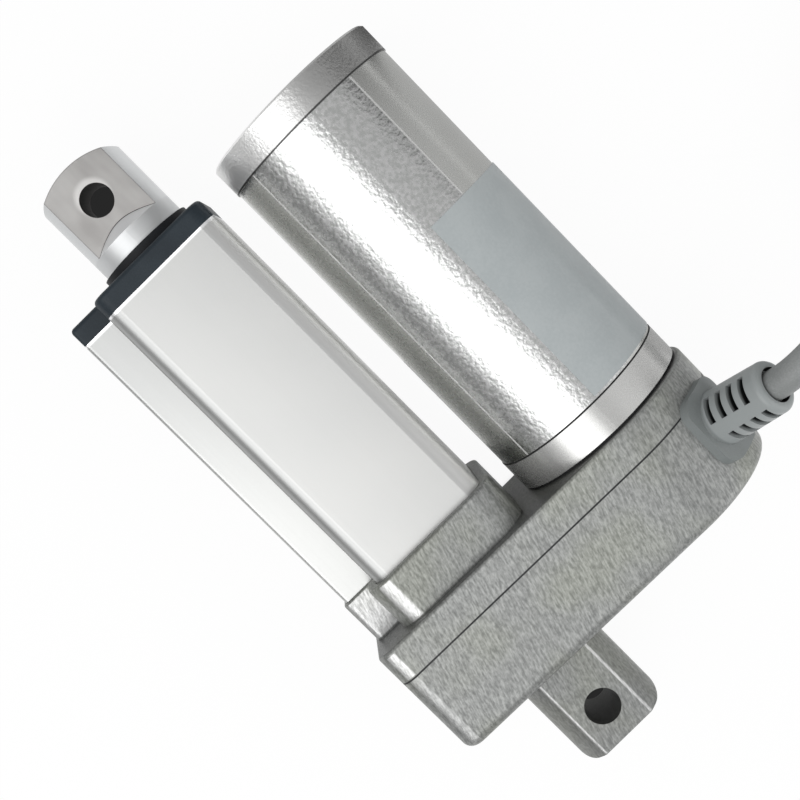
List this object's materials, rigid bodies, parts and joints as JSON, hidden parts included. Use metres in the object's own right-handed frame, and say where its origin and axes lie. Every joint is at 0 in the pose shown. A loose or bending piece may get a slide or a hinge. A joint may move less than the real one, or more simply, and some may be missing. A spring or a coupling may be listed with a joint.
{
  "type": "electric linear actuator",
  "caption": "Compact electric linear actuator: a motor beside a square tube drives a sliding rod through a gearbox, with a pivot eye at each end and a cable.",
  "frame": {"origin": "centre of the rear pivot hole", "axes": "+X along the rod towards its eye, +Z along the pivot holes and away from the surface it rests on, motor at -Y"},
  "size_m": [0.1505, 0.2016, 0.052],
  "materials": {
    "cast_alloy": "satin",
    "tube_alloy": "satin",
    "black_nylon": "matte",
    "rod_steel": "satin",
    "can_steel": "polished",
    "screw_steel": "satin",
    "gasket_rubber": "matte",
    "seal_rubber": "matte",
    "acetal": "satin",
    "bronze": "satin",
    "brass": "satin",
    "copper": "satin",
    "magnet": "matte",
    "lamination": "satin",
    "board": "satin",
    "card": "matte",
    "carbon": "matte",
    "label": "satin",
    "relief_rubber": "matte",
    "cable_jacket": "satin",
    "tinned_copper": "satin",
    "tie": "satin"
  },
  "bodies": {
    "housing": {"gearbox_base": "cast_alloy", "gearbox_gasket": "gasket_rubber", "gearbox_cover": "cast_alloy", "gearbox_screws": "screw_steel", "outer_tube": "tube_alloy", "tube_screws": "screw_steel", "front_cap": "black_nylon", "cap_screws": "screw_steel", "wiper_seal": "seal_rubber", "guide_bush": "acetal", "bearing_outer_race": "screw_steel", "rear_bush": "bronze", "idler_pin": "screw_steel", "motor_gasket": "gasket_rubber", "motor_ring": "can_steel", "motor_screws": "screw_steel", "motor_front_bush": "bronze", "motor_can": "can_steel", "motor_end_cap": "cast_alloy", "motor_rear_bush": "bronze", "motor_magnets": "magnet", "brush_card": "card", "carbon_brushes": "carbon", "brush_holders": "brass", "limit_switch_board": "board", "limit_switches": "black_nylon", "rating_label": "label", "strain_relief": "relief_rubber", "cord_lead": "cable_jacket", "cord_coil": "cable_jacket", "cord_tie": "tie", "cord_cores": "tinned_copper"},
    "rod": {"rod_tube": "rod_steel", "rod_eye": "rod_steel", "drive_nut": "acetal"},
    "screw": {"lead_screw": "screw_steel", "screw_gear": "acetal", "bearing_inner_race": "screw_steel", "retaining_ring": "screw_steel"},
    "idler": {"idler_gear": "acetal"},
    "rotor": {"motor_shaft": "screw_steel", "motor_pinion": "brass", "armature_core": "lamination", "armature_windings": "copper", "commutator": "copper"}
  },
  "joints": [
    {"name": "motor_spin", "type": "hinge", "parent": "housing", "child": "rotor", "pos_m": [0, -0.0384, 0], "axis": [-1, 0, 0], "range_deg": [0, 32400]},
    {"name": "idler_spin", "type": "hinge", "parent": "housing", "child": "idler", "pos_m": [0, -0.0192, 0], "axis": [-1, 0, 0], "range_deg": [-10800, 0]},
    {"name": "screw_spin", "type": "hinge", "parent": "housing", "child": "screw", "pos_m": [0, 0, 0], "axis": [-1, 0, 0], "range_deg": [0, 3600]},
    {"name": "rod_slide", "type": "slide", "parent": "housing", "child": "rod", "axis": [1, 0, 0], "range_m": [0, 0.03]}
  ],
  "couplings": [
    {"joint": "screw_spin", "follows": "rod_slide", "rad_per_m": 2094.4},
    {"joint": "idler_spin", "follows": "rod_slide", "rad_per_m": -6283.2},
    {"joint": "motor_spin", "follows": "rod_slide", "rad_per_m": 18850}
  ]
}
